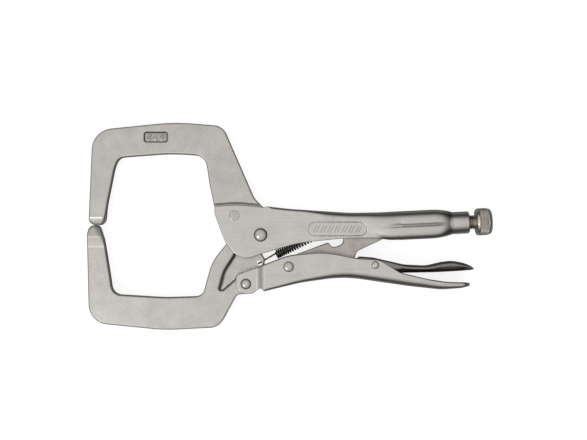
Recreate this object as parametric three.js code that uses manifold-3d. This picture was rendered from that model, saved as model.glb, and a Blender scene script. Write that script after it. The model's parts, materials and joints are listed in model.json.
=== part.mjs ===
// Locking C-clamp pliers, shut and locked, lying on one side.
//
// Millimetres. Everything is drawn about the jaw pivot: X runs along the handles towards
// the knob, Y from the lower handle to the upper one, Z through the thickness, and the tool
// is symmetric about Z = 0. At the end the group is moved so that the middle of the
// underside of the whole tool is the origin.

import * as THREE from 'three';
import { mergeVertices } from 'three/addons/utils/BufferGeometryUtils.js';
import Module from 'manifold-3d';

const wasm = await Module();
wasm.setup();

// ---------------------------------------------------------------- driving dimensions

const jawReach = 118.2; // pivot to the outer side of the jaw arms
const jawRise = 77; // pivot to the crown of the fixed jaw
const jawDrop = 64.9; // pivot to the crown of the lower jaw
const jawThick = 9.5; // both forged jaws, through Z
const jawMeetY = 6.6; // height at which the jaw tips meet
const backBarDepth = 22; // fixed jaw, crown to throat
const tipArmWidth = 12.4; // jaw arms at the tips
const handleReach = 143.7; // pivot to the end of the threaded boss
const bodyWall = 2; // sheet of the upper handle
const gripWall = 1.8; // sheet of the lower handle
const leverWall = 1.5; // sheet of the release lever
const fit = 0.3; // clearance between pieces that touch
const sheetEdge = 2.5; // outside radius of a folded sheet corner

const barrelTall = 20.8; // rolled end of the upper handle, in Y
const barrelWide = 18.8; // and in Z
const barrelLength = 46;
const bossDia = 15.2;
const bossLength = 11.5;
const screwSlope = THREE.MathUtils.degToRad(2.7); // the screw rises towards the knob
const screwRise = 8.6; // height of the screw axis at the end of the boss
const screwDia = 10;
const screwShow = 4.4; // thread in sight between boss and knob
const knobDia = 19;
const knobLength = 11;
const knobWall = 2.2; // knob metal behind the end of the screw

const gripWide = 18.4; // lower handle behind its ears, in Z
const linkThick = 6;
const leverPlay = 0.5; // each side of the release lever in the lower handle
const swingRoom = 5.6; // link end to screw tip, the pivot left open

const pivotDia = 7;
const jawRivetDia = 7.4;
const gripRivetDia = 5.5;
const leverRivetDia = 4;

const springDia = 6.5;
const wireDia = 1.2;

// ---------------------------------------------------------------- places worked out

const jawHalf = jawThick / 2;
const bodyInner = jawHalf + fit; // half width inside the upper handle
const bodyOuter = bodyInner + bodyWall;
const earInner = jawHalf + fit; // half width inside the ears of the lower handle
const earOuter = earInner + gripWall;
const gripOuter = gripWide / 2;
const gripInner = gripOuter - gripWall;
const leverOuter = gripInner - leverPlay;

const pivot = new THREE.Vector2(0, 0);
const jawRivet = new THREE.Vector2(-18, 13.3);
const earPivot = new THREE.Vector2(-10.1, -33.6);
const linkPivot = new THREE.Vector2(19.2, -21.7);
const linkEnd = new THREE.Vector2(handleReach - 59.7, 4.8);
const leverPivot = new THREE.Vector2(handleReach - 65.2, -20.5);
const springHole = new THREE.Vector2(-1, -19.5);
const linkNotch = new THREE.Vector2((linkPivot.x + linkEnd.x) / 2 - 0.4, -2.2);
const springTab = new THREE.Vector2(linkNotch.x + 2.5, 7.5);
const bossEnd = new THREE.Vector2(handleReach, screwRise);

const eyeRadius = 9.5; // lower jaw round the main pivot
const hubRadius = 6; // lower jaw and link round their rivets
const linkEndRadius = 4.6; // end of the link that bears on the screw

// ---------------------------------------------------------------- making solids

const ARC_STEPS = 4; // curve divisions that three.js doubles along an arc
const ROUND_SIDES = 32;

// A closed three.js geometry as a solid that can be joined and cut.
function solidOf(geometry) {
  geometry.deleteAttribute('normal');
  geometry.deleteAttribute('uv');
  const merged = mergeVertices(geometry);
  return new wasm.Manifold(new wasm.Mesh({
    numProp: 3,
    vertProperties: Float32Array.from(merged.attributes.position.array),
    triVerts: Uint32Array.from(merged.index.array),
  }));
}

// A finished solid as a three.js geometry.
function geometryOf(solid) {
  const mesh = solid.getMesh();
  const geometry = new THREE.BufferGeometry();
  geometry.setAttribute('position', new THREE.BufferAttribute(mesh.vertProperties, 3));
  geometry.setIndex(new THREE.BufferAttribute(mesh.triVerts, 1));
  geometry.computeVertexNormals();
  return geometry;
}

// A closed outline through [x, y, radius] corners, each rounded by its own radius. Where
// two roundings would meet along an edge, both are eased back to share it.
function outline(corners) {
  const count = corners.length;
  const bends = corners.map(([x, y, radius = 0], index) => {
    const corner = new THREE.Vector2(x, y);
    const back = new THREE.Vector2(...corners.at(index - 1)).sub(corner);
    const ahead = new THREE.Vector2(...corners[(index + 1) % count]).sub(corner);
    const edge = ahead.length();
    const half = Math.acos(back.normalize().dot(ahead.normalize())) / 2;
    return { corner, back, ahead, edge, half, reach: radius / Math.tan(half) };
  });
  const shares = bends.map((bend, index) => {
    const wanted = bend.reach + bends[(index + 1) % count].reach;
    return Math.min(1, (0.98 * bend.edge) / Math.max(wanted, Number.EPSILON));
  });
  const shape = new THREE.Shape();
  bends.forEach(({ corner, back, ahead, half, reach }, index) => {
    if (reach === 0) {
      if (index === 0) shape.moveTo(corner.x, corner.y);
      else shape.lineTo(corner.x, corner.y);
      return;
    }
    const room = reach * Math.min(shares[index], shares.at(index - 1));
    const radius = room * Math.tan(half);
    const toCentre = back.clone().add(ahead).setLength(radius / Math.sin(half));
    const clockwise = back.cross(ahead) > 0;
    const start = back.clone().multiplyScalar(room).sub(toCentre);
    const end = ahead.clone().multiplyScalar(room).sub(toCentre);
    const centre = corner.clone().add(toCentre);
    const firstLine = index === 1 && shape.curves.length === 0;
    if (firstLine) shape.lineTo(centre.x + start.x, centre.y + start.y);
    shape.absarc(centre.x, centre.y, radius, start.angle(), end.angle(), clockwise);
  });
  return shape;
}

// An outline made thick, centred on Z = 0. A round eases its long edges without
// making the outline larger.
function plate(corners, thickness, round = 0) {
  const geometry = new THREE.ExtrudeGeometry(outline(corners), {
    depth: thickness - 2 * round,
    curveSegments: ARC_STEPS,
    bevelEnabled: round > 0,
    bevelSize: round,
    bevelOffset: -round,
    bevelThickness: round,
    bevelSegments: 2,
  });
  geometry.translate(0, 0, round - thickness / 2);
  return solidOf(geometry);
}

// A round pin or hole through Z at a point.
function pin(point, diameter, length, sides = ROUND_SIDES) {
  const geometry = new THREE.CylinderGeometry(diameter / 2, diameter / 2, length, sides);
  geometry.rotateX(Math.PI / 2);
  geometry.translate(point.x, point.y, 0);
  return solidOf(geometry);
}

// A box from one corner to the other.
function block(from, to) {
  const size = to.clone().sub(from);
  const middle = from.clone().add(to).multiplyScalar(0.5);
  const geometry = new THREE.BoxGeometry(size.x, size.y, size.z);
  geometry.translate(middle.x, middle.y, middle.z);
  return solidOf(geometry);
}

// A solid of revolution about the screw axis. The profile holds [along, radius] pairs,
// measured from the end of the boss towards the knob, and starts and ends on the axis.
function turned(profile, zScale = 1) {
  const points = profile.map(([along, radius]) => new THREE.Vector2(radius, along));
  const geometry = new THREE.LatheGeometry(points, ROUND_SIDES);
  geometry.rotateZ(screwSlope - Math.PI / 2);
  geometry.scale(1, 1, zScale);
  geometry.translate(bossEnd.x, bossEnd.y, 0);
  return solidOf(geometry);
}

// A straight round bar in the plane Z = 0.
function bar(from, to, diameter, sides = 12) {
  const length = from.distanceTo(to);
  const geometry = new THREE.CylinderGeometry(diameter / 2, diameter / 2, length, sides);
  geometry.rotateZ(to.clone().sub(from).angle() - Math.PI / 2);
  geometry.translate((from.x + to.x) / 2, (from.y + to.y) / 2, 0);
  return solidOf(geometry);
}

// A rivet through Z: a shank and a domed head on each side, just clear of the sheet.
function rivet(point, shankDia, headDia, headHeight, sheetOuter) {
  const headFrom = sheetOuter + fit;
  const arcRadius = (headDia ** 2 / 4 + headHeight ** 2) / (2 * headHeight);
  const dome = [];
  const rings = 4;
  for (let ring = 0; ring <= rings; ring += 1) {
    const radius = (headDia / 2) * (1 - ring / rings);
    const rise = Math.sqrt(arcRadius ** 2 - radius ** 2) - arcRadius + headHeight;
    dome.push([radius, headFrom + rise]);
  }
  const upper = [[shankDia / 2, headFrom], ...dome];
  const lower = upper.map(([radius, z]) => [radius, -z]).reverse();
  const points = [...lower, ...upper].map(([radius, z]) => new THREE.Vector2(radius, z));
  const geometry = new THREE.LatheGeometry(points, ROUND_SIDES);
  geometry.rotateX(Math.PI / 2);
  geometry.translate(point.x, point.y, 0);
  return solidOf(geometry);
}

// The hole that a pin goes through.
function holeFor(point, pinDia) {
  return pin(point, pinDia + 2 * fit, 4 * gripWide);
}

// ---------------------------------------------------------------- the two forged jaws

const jawEdge = 1.2; // eased edges of the forgings

function fixedJaw() {
  const left = -jawReach;
  const crown = jawRise;
  const throat = jawRise - backBarDepth;
  const tipFoot = jawMeetY + fit;
  const arm = plate([
    [left - 0.2, tipFoot, 4],
    [left + tipArmWidth - 1, tipFoot, 4],
    [left + tipArmWidth, tipFoot + 13, 60],
    [left + tipArmWidth + 5.5, throat - 8, 24],
    [left + tipArmWidth + 8.5, throat - 1.8, 6],
    [-61, throat + 0.9, 150],
    [-38, throat - 0.6, 9],
    [-35.2, throat - 20, 60],
    [-32, 20, 30],
    [-27.6, 3.4, 2.5],
    [-12, 8.4, 6],
    [4.6, 11.4, 2],
    [4, 16.6, 1.5],
    [-4.4, 25.2, 12],
    [-26, crown - 2.2, 9.5],
    [-59, crown + 0.6, 150],
    [left + 2.6, crown - 5.2, 15],
  ], jawThick, jawEdge);
  const eyeClearance = pin(pivot, 2 * (eyeRadius + 1), 2 * jawThick, 48);
  return arm.subtract(eyeClearance).subtract(holeFor(jawRivet, jawRivetDia));
}

function lowerJaw() {
  const left = -jawReach;
  const crown = -jawDrop;
  const throat = crown + backBarDepth;
  const tipTop = jawMeetY - fit;
  const arm = plate([
    [left + 0.6, tipTop, 1.8],
    [left - 1.3, tipTop - 5.5, 8],
    [left + 0.2, crown + 4.6, 14],
    [-66, crown - 0.6, 120],
    [-28.6, crown + 1.3, 11],
    [-16.2, -41, 4],
    [-3.6, -40.2, 6],
    [-3.4, -27.6, 5],
    [2.4, -22.6, 2.4],
    [2.8, -16.6, 2.4],
    [-1.6, -9, 3],
    [4, 2, 3],
    [-3, 9, 3],
    [-13, 7, 8],
    [-33.4, -18.4, 30],
    [-37.8, -34, 30],
    [-39.6, throat + 0.6, 7],
    [-66, throat - 0.2, 120],
    [left + tipArmWidth + 4, throat + 2, 7],
    [left + tipArmWidth + 1.8, throat + 17, 60],
    [left + tipArmWidth - 1.8, tipTop - 10, 40],
    [left + tipArmWidth - 5, tipTop, 1.8],
  ], jawThick, jawEdge);
  const solid = arm
    .add(pin(pivot, 2 * eyeRadius, jawThick, 48))
    .subtract(jawPocket(1))
    .subtract(jawPocket(-1));
  return solid
    .subtract(holeFor(pivot, pivotDia))
    .subtract(holeFor(earPivot, gripRivetDia))
    .subtract(pin(springHole, wireDia + 2, 2 * jawThick, 16));
}

// The thinned web of the lower jaw between its two pivots, on one side.
function jawPocket(side) {
  const depth = 2.5;
  const pocket = plate([
    [-16.4, -9, 3],
    [-26.6, -24.6, 24],
    [-31.4, -43.6, 2.6],
    [-17.4, -31.6, 3],
    [8, -31.6, 3],
    [8, -9, 3],
  ], 2 * depth);
  return pocket
    .translate([0, 0, side * jawHalf])
    .subtract(pin(pivot, 2 * eyeRadius + 2, 4 * jawThick))
    .subtract(pin(earPivot, 2 * hubRadius + 2, 4 * jawThick));
}

// ---------------------------------------------------------------- the upper handle

const nose = bossLength + barrelLength; // the barrel begins this far before the boss end
const webStart = 4.6; // the folded top begins here; before it the sides stand apart

// Top edge of the upper handle, from the barrel forwards.
function bodyTop(lowered = 0) {
  return [
    [handleReach - 58, 16.4 - lowered],
    [handleReach - 82, 15.1 - lowered, 80],
    [20, 17.8 - lowered, 90],
    [webStart - 2, 19.8 - lowered],
  ];
}

function upperHandle() {
  const below = -40;
  const rolled = plate([
    ...bodyTop(),
    [-17, 21.6, 60],
    [-60, 19, 0],
    [-60, below, 0],
    [handleReach - 58, below, 0],
  ], 2 * bodyOuter, sheetEdge);
  const sides = plate([
    ...bodyTop(-1),
    [-17, 22.6, 60],
    [-31.6, 21.8, 0],
    [-31.6, 14.4, 7],
    [-24.6, -4.4, 12],
    [-17.8, -13.4, 8],
    [-9.6, -16.6, 11],
    [3, -12.2, 40],
    [26, -5.6, 90],
    [56, -2.4, 120],
    [handleReach - 58, -1.8, 0],
  ], 2 * bodyOuter);
  const barrel = turned([
    [-nose - 8, 0],
    [-nose - 8, barrelTall * 0.36],
    [-nose, barrelTall * 0.46],
    [-nose + 8, barrelTall * 0.5],
    [-bossLength - 8, barrelTall * 0.5],
    [-bossLength - 4, barrelTall * 0.48],
    [-bossLength, bossDia / 2],
    [-bossLength, 0],
  ], barrelWide / barrelTall);
  const boss = turned([
    [-bossLength - 4, 0],
    [-bossLength - 4, bossDia / 2],
    [-1, bossDia / 2],
    [0, bossDia / 2 - 1],
    [0, 0],
  ]);
  const tab = block(
    new THREE.Vector3(springTab.x, springTab.y - 2.6, -bodyInner / 2),
    new THREE.Vector3(springTab.x + bodyWall, 14.4, bodyInner / 2),
  );
  return rolled
    .intersect(sides)
    .add(barrel)
    .add(boss)
    .subtract(bodyCavity())
    .subtract(barrelCavity())
    .subtract(linkSlot())
    .add(tab)
    .subtract(bar(
      springTab.clone().setX(springTab.x - 5),
      springTab.clone().setX(springTab.x + 5),
      wireDia + 1.2,
    ))
    .subtract(holeFor(pivot, pivotDia))
    .subtract(holeFor(jawRivet, jawRivetDia));
}

// The room between the sides, open below and, before the folded top, above.
function bodyCavity() {
  const below = -40;
  return plate([
    [handleReach - 56, 16 - bodyWall, 0],
    ...bodyTop(bodyWall).slice(1, 3),
    [webStart, 19.4 - bodyWall, 0],
    [webStart, 40, 0],
    [-60, 40, 0],
    [-60, below, 0],
    [handleReach - 62, below, 0],
    [handleReach - 56, -2, 0],
  ], 2 * bodyInner);
}

// The bore of the barrel and the threaded hole through the boss.
function barrelCavity() {
  const inside = barrelTall / 2 - bodyWall;
  const bore = turned([
    [-nose - 9, 0],
    [-nose - 9, inside - 3],
    [-nose + 8, inside],
    [-bossLength - 9, inside],
    [-bossLength - 2, screwDia / 2 + fit],
    [-bossLength - 2, 0],
  ], (barrelWide - 2 * bodyWall) / (barrelTall - 2 * bodyWall));
  const thread = turned([
    [-nose, 0],
    [-nose, screwDia / 2 + fit],
    [1, screwDia / 2 + fit],
    [1, 0],
  ]);
  return bore.add(thread);
}

// The slot under the front of the barrel that the end of the link swings in.
function linkSlot() {
  const halfWide = linkThick / 2 + fit;
  return block(
    new THREE.Vector3(linkEnd.x - 4, linkEnd.y - 14, -halfWide),
    new THREE.Vector3(linkEnd.x + linkEndRadius + swingRoom, linkEnd.y, halfWide),
  );
}

// ---------------------------------------------------------------- the lower handle

const joggle = 1.2; // where the ears step out to the wide channel
const gripWebStart = joggle + 6; // the folded underside begins here

// Underside of the lower handle, from the front backwards.
function gripUnderside(raised = 0) {
  return [
    [28, -32.6 + raised, 90],
    [57, -28.7 + raised, 90],
    [handleReach - 42, -35.2 + raised, 120],
    [handleReach - 20, -37.5 + raised, 40],
    [handleReach - 6, -36.4 + raised, 12],
    [handleReach, -34.9 + raised],
  ];
}

function lowerHandle() {
  const above = 20;
  const ears = plate([
    [earPivot.x - 6.8, -27.4, 4],
    [earPivot.x - 6.8, -40.4, 6.7],
    [-5.2, -40.4, 5.5],
    [-1.4, -37, 6],
    [joggle + gripWall, -36.4, 0],
    [joggle + gripWall, -20.4, 0],
  ], 2 * earOuter);
  const rolled = plate([
    [joggle, -38.9, 0],
    ...gripUnderside(),
    [handleReach + 20, -34.9, 0],
    [handleReach + 20, above, 0],
    [joggle - 20, above, 0],
    [joggle - 20, -43.5, 0],
  ], gripWide, sheetEdge);
  const sides = plate([
    [joggle, -21.2, 0],
    [joggle, -40, 0],
    ...gripUnderside(-1),
    [handleReach, -32.9, 1],
    [handleReach - 14, -32.9, 40],
    [handleReach - 27, -31, 50],
    [handleReach - 47.5, -26.2, 14],
    [handleReach - 62, -17.2, 12],
    [handleReach - 78, -16.2, 60],
    [(linkPivot.x + leverPivot.x) / 2 - 5, -11.8, 60],
    [linkPivot.x, -14.2, 40],
  ], gripWide);
  const solid = ears
    .add(rolled.intersect(sides))
    .subtract(gripCavity());
  return solid
    .subtract(holeFor(earPivot, gripRivetDia))
    .subtract(holeFor(linkPivot, gripRivetDia))
    .subtract(holeFor(leverPivot, leverRivetDia));
}

// The room inside the lower handle: narrow between the ears, wide behind them.
function gripCavity() {
  const above = 40;
  const below = -60;
  const betweenEars = plate([
    [-40, above, 0],
    [-40, below, 0],
    [gripWebStart, below, 0],
    [gripWebStart, above, 0],
  ], 2 * earInner);
  const channel = plate([
    [joggle + gripWall, above, 0],
    [joggle + gripWall, below, 0],
    [gripWebStart, below, 0],
    [gripWebStart, -37.4 + gripWall, 0],
    ...gripUnderside(gripWall),
    [handleReach + 10, -34.9 + gripWall, 0],
    [handleReach + 10, above, 0],
  ], 2 * gripInner);
  return betweenEars.add(channel);
}

// ---------------------------------------------------------------- link and lever

function toggleLink() {
  const web = plate([
    [15.6, -16.8, 0],
    [linkEnd.x + linkEndRadius, linkEnd.y + 5.6, linkEndRadius],
    [linkEnd.x + linkEndRadius, linkEnd.y - 5.6, linkEndRadius],
    [linkEnd.x - 17.6, -11.2, 4],
    [linkEnd.x - 19.8, -16.6, 3],
    [linkEnd.x - 28, -22.4, 10],
    [linkPivot.x + 2, -28.2, 0],
    [linkPivot.x - 2, -22, 0],
  ], linkThick, 0.8);
  return web
    .add(pin(linkPivot, 2 * hubRadius, 2 * (gripInner - fit)))
    .subtract(pin(linkNotch, 11, 2 * linkThick))
    .subtract(holeFor(linkPivot, gripRivetDia));
}

function releaseLever() {
  const below = -60;
  const top = (lowered) => [
    [leverPivot.x - 12, -14.9 - lowered, 2],
    [leverPivot.x - 1, -15.7 - lowered, 20],
    [handleReach - 44.7, -20.6 - lowered, 25],
    [handleReach - 29.7, -21 - lowered, 14],
    [handleReach - 14.4, -17.4 - lowered, 16],
    [handleReach + 3, -22.6 - lowered, 2],
  ];
  const rolled = plate([
    ...top(0),
    [handleReach + 3, below, 0],
    [leverPivot.x - 12, below, 0],
  ], 2 * leverOuter, leverWall);
  const sides = plate([
    ...top(-0.5),
    [handleReach + 1.4, -24.8, 1],
    [handleReach - 24, -26.5, 60],
    [handleReach - 42, -26.8, 20],
    [handleReach - 56, -26.4, 20],
    [leverPivot.x - 3, -27, 5],
    [leverPivot.x - 12, -20.6, 3],
  ], 2 * leverOuter);
  const cavity = plate([
    [leverPivot.x - 20, -15.1 - leverWall, 0],
    ...top(leverWall).slice(1, 5),
    [handleReach - 0.6, -21.4 - leverWall, 0],
    [handleReach - 0.6, below, 0],
    [leverPivot.x - 20, below, 0],
  ], 2 * (leverOuter - leverWall));
  return rolled
    .intersect(sides)
    .subtract(cavity)
    .subtract(holeFor(leverPivot, leverRivetDia));
}

// ---------------------------------------------------------------- screw and spring

function screwShank() {
  const tip = (linkEnd.x + linkEndRadius + swingRoom - handleReach) / Math.cos(screwSlope);
  const end = screwShow + knobLength - knobWall - fit;
  return turned([
    [tip, 0],
    [tip, screwDia / 2 - 1.6],
    [tip + 1.6, screwDia / 2],
    [screwShow - 1, screwDia / 2],
    [screwShow - 1, screwDia / 2 - 1],
    [end, screwDia / 2 - 1],
    [end, 0],
  ]);
}

function screwKnob() {
  const front = screwShow;
  const back = screwShow + knobLength;
  const radius = knobDia / 2;
  const bore = screwDia / 2 - 1 + fit;
  return turned([
    [back - knobWall, 0],
    [back - knobWall, bore],
    [front, bore],
    [front, radius - 2.2],
    [front + 1.4, radius],
    [back - 1.6, radius],
    [back, radius - 1.8],
    [back + 0.4, 0],
  ]);
}

// The coil as one round bar of its outer size, with a wire hook at each end.
function tensionSpring() {
  const along = springTab.clone().sub(springHole).normalize();
  const coilFrom = springHole.clone().addScaledVector(along, 12.4);
  const coilTo = springTab.clone().addScaledVector(along, -4);
  const hookFrom = springHole.clone().addScaledVector(along, 5);
  const hookTo = springTab.clone().addScaledVector(along, -0.8);
  const buried = along.clone().multiplyScalar(2);
  return bar(coilFrom, coilTo, springDia, 20)
    .add(bar(hookFrom, coilFrom.clone().add(buried), wireDia))
    .add(bar(coilTo.clone().sub(buried), hookTo, wireDia));
}

// ---------------------------------------------------------------- the assembly

const satin = { color: '#bdb8b1', roughness: 0.42, metalness: 0.9 };
const polished = { color: '#8d8883', roughness: 0.22, metalness: 1 };
const rivetSteel = { color: '#b3aea7', roughness: 0.35, metalness: 0.95 };
const machined = { color: '#a8a29a', roughness: 0.38, metalness: 0.95 };
const springSteel = { color: '#3f3d3b', roughness: 0.45, metalness: 0.9 };

const pieces = [
  ['upper_handle', upperHandle, satin],
  ['fixed_jaw', fixedJaw, satin],
  ['jaw_rivet', () => pin(jawRivet, jawRivetDia, 2 * bodyOuter), rivetSteel],
  ['pivot_rivet', () => rivet(pivot, pivotDia, 9.6, 1.9, bodyOuter), rivetSteel],
  ['lower_jaw', lowerJaw, satin],
  ['ear_rivet', () => rivet(earPivot, gripRivetDia, 7.4, 1.6, earOuter), rivetSteel],
  ['lower_handle', lowerHandle, satin],
  ['link_rivet', () => rivet(linkPivot, gripRivetDia, 7.4, 1.2, gripOuter), rivetSteel],
  ['lever_rivet', () => rivet(leverPivot, leverRivetDia, 5.4, 1, gripOuter), rivetSteel],
  ['toggle_link', toggleLink, machined],
  ['release_lever', releaseLever, polished],
  ['screw_shank', screwShank, machined],
  ['screw_knob', screwKnob, machined],
  ['tension_spring', tensionSpring, springSteel],
];

const pliers = new THREE.Group();
pieces.forEach(([name, make, finish]) => {
  const mesh = new THREE.Mesh(geometryOf(make()), new THREE.MeshStandardMaterial(finish));
  mesh.name = name;
  pliers.add(mesh);
});

// Move the middle of the underside to the origin.
const box = new THREE.Box3().setFromObject(pliers);
const middle = box.getCenter(new THREE.Vector3());
pliers.position.set(-middle.x, -middle.y, -box.min.z);

const assembly = new THREE.Group();
assembly.add(pliers);

export default assembly;
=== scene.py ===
"""Looks for the locking C-clamp pliers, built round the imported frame."""

import json
import math

import bmesh
import bpy
import numpy as np
from mathutils.geometry import delaunay_2d_cdt
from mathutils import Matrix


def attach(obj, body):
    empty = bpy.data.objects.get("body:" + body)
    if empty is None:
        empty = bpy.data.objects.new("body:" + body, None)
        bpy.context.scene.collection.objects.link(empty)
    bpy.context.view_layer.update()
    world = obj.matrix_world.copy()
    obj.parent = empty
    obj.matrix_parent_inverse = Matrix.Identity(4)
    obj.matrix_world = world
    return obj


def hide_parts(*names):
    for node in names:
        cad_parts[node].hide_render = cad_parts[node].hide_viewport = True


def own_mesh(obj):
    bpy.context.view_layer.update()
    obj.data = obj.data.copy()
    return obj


bl_info = {
    "name": "Locking C-clamp pliers",
    "version": (1, 0, 0),
    "blender": (4, 5, 0),
    "location": "3D View > Sidebar > Pliers",
    "description": "Builds detailed meshes and finishes for locking C-clamp pliers",
    "category": "Object",
}

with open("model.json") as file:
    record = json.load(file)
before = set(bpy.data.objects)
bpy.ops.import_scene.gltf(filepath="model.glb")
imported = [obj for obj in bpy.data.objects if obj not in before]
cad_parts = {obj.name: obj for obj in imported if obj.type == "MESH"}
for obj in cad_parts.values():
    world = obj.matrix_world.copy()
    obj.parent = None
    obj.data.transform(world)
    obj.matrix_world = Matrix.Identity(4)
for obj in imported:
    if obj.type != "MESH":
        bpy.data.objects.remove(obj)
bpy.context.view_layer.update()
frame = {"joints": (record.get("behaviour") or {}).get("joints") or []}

MM = 0.001
JOINTS = {joint["name"]: joint for joint in frame["joints"]}
PIVOT = np.array(JOINTS["jaw_pivot"]["pos_m"]) / MM  # the jaw pivot, origin of the drawing

# Everything below is drawn in millimetres about the jaw pivot, with X along the handles
# to the knob and Z through the thickness.


def drawn(point_m):
    """A frame point in metres, as a drawing point in millimetres."""
    return np.array(point_m) / MM - PIVOT


EAR_PIVOT = drawn(JOINTS["ear_pivot"]["pos_m"])
LINK_PIVOT = drawn(JOINTS["link_pivot"]["pos_m"])
LEVER_PIVOT = drawn(JOINTS["lever_pivot"]["pos_m"])
JAW_RIVET = np.array([-18.0, 13.3, 0.0])
SCREW_AXIS = np.array(JOINTS["screw_feed"]["axis"])
BOSS_END = np.array([143.7, 8.6, 0.0])
SPRING_HOLE = np.array([-1.0, -19.5, 0.0])
SPRING_TAB = np.array([53.7, 7.5, 0.0])

JAW_HALF = 4.75
BODY_OUTER = 7.05
BODY_WALL = 2.0
EAR_OUTER = 6.85
GRIP_OUTER = 9.2
GRIP_WALL = 1.8
LEVER_OUTER = 6.9
LEVER_WALL = 1.5
LINK_HALF = 3.0


# ---------------------------------------------------------------- curves


def smooth(value, start, end):
    """0 before start, 1 after end, and the cubic 3t^2 - 2t^3 between them."""
    t = np.clip((value - start) / (end - start), 0, 1)
    return t * t * (3 - 2 * t)


def path(corners, step=0.6, closed=False):
    """Points along straight runs through (x, y, radius) corners, each corner rounded by an
    arc tangent to its two runs; arcs that would meet on a run are eased back to share it."""
    spots = np.array([corner[:2] for corner in corners], float)
    radii = np.array([corner[2] if len(corner) > 2 else 0.0 for corner in corners])
    ahead = np.roll(spots, -1, 0) - spots
    edges = np.linalg.norm(ahead, axis=1)
    ahead /= np.maximum(edges, 1e-9)[:, None]
    back = -np.roll(ahead, 1, 0)
    if not closed:
        radii[0] = radii[-1] = 0
    half = np.arccos(np.clip((ahead * back).sum(1), -1, 1)) / 2
    reach = radii / np.tan(half)
    share = np.minimum(1, 0.98 * edges / np.maximum(reach + np.roll(reach, -1), 1e-9))
    room = reach * np.minimum(share, np.roll(share, 1))
    runs = []
    for here, spot in enumerate(spots):
        start = spot + back[here] * room[here]
        end = spot + ahead[here] * room[here]
        if room[here] > 0:
            radius = room[here] * math.tan(half[here])
            toward = (ahead[here] + back[here]) / np.linalg.norm(ahead[here] + back[here])
            centre = spot + toward * radius / math.sin(half[here])
            first = math.atan2(*(start - centre)[::-1])
            turn = math.atan2(*(end - centre)[::-1]) - first
            turn = (turn + math.pi) % math.tau - math.pi
            count = max(3, math.ceil(abs(turn) * radius / step) + 1)
            angle = first + turn * np.linspace(0, 1, count)
            runs.append(centre + radius * np.stack([np.cos(angle), np.sin(angle)], 1))
        else:
            runs.append(spot[None])
        if here == len(spots) - 1 and not closed:
            break
        following = (here + 1) % len(spots)
        goal = spots[following] + back[following] * room[following]
        count = max(1, math.ceil(np.linalg.norm(goal - end) / step))
        runs.append(end + (goal - end) * np.linspace(0, 1, count + 1)[1:-1, None])
    points = np.concatenate(runs)
    gaps = np.linalg.norm(np.diff(points, axis=0), axis=1)
    return points[np.r_[True, gaps > 1e-4]]


def outline(corners, step=0.6):
    """A closed path, turned anticlockwise."""
    loop = path(corners, step, closed=True)
    if np.linalg.norm(loop[0] - loop[-1]) < 1e-4:
        loop = loop[:-1]
    x, y = loop.T
    area = (x * np.roll(y, -1) - y * np.roll(x, -1)).sum()
    return loop if area > 0 else loop[::-1]


def height_along(corners):
    """The path as a function of x: y, read off by linear interpolation."""
    line = path(corners, 0.3)
    line = line[np.argsort(line[:, 0], kind="stable")]
    return lambda x: np.interp(x, line[:, 0], line[:, 1])


def ring(centre, radius, count=36):
    """Points on a circle, anticlockwise."""
    angle = np.linspace(0, math.tau, count, endpoint=False)
    return np.array(centre)[:2] + radius * np.stack([np.cos(angle), np.sin(angle)], 1)


def inside(points, loop):
    """Which points lie in the loop: an odd number of its edges cross the ray to +X."""
    x, y = points[:, :1], points[:, 1:2]
    (x0, y0), (x1, y1) = loop.T, np.roll(loop, -1, 0).T
    crosses = (y0 > y) != (y1 > y)
    at = x0 + (y - y0) * (x1 - x0) / np.where(y1 == y0, 1e-9, y1 - y0)
    return (crosses & (x < at)).sum(1) % 2 == 1


def away(points, loop):
    """Signed distance to a closed loop, negative inside: the least distance to an edge."""
    start, run = loop, np.roll(loop, -1, 0) - loop
    least = np.full(len(points), 1e9)
    for block in range(0, len(points), 2000):
        part = points[block : block + 2000, None]
        t = ((part - start) * run).sum(2) / np.maximum((run**2).sum(1), 1e-12)
        near = start + np.clip(t, 0, 1)[..., None] * run
        least[block : block + 2000] = np.linalg.norm(part - near, axis=2).min(1)
    return np.where(inside(points, loop), -least, least)


def disc(points, centre, radius):
    """Signed distance to a circle, negative inside."""
    return np.linalg.norm(points - np.array(centre)[:2], axis=1) - radius


def eased(distance, radius):
    """How far a rounded edge drops at a distance inside its border: a quarter circle."""
    reach = np.clip(radius - distance, 0, radius)
    return radius - np.sqrt(radius**2 - reach**2)


# ---------------------------------------------------------------- surfaces
# A shell is (points, faces, wear and painted light): the last is 1 on a rubbed edge and on a
# painted highlight, and -1 in a recess, where shade is painted; painted shadows go lower.


def grid_faces(rows, columns, closed_rows=False, closed_columns=False):
    """The quads of a grid of points numbered row by row, wrapped where it is closed."""
    row = np.arange(rows if closed_rows else rows - 1)[:, None]
    column = np.arange(columns if closed_columns else columns - 1)[None]
    low, high = row * columns, (row + 1) % rows * columns
    right = (column + 1) % columns
    corners = [low + column, low + right, high + right, high + column]
    return np.stack(np.broadcast_arrays(*corners), -1).reshape(-1, 4)


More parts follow.
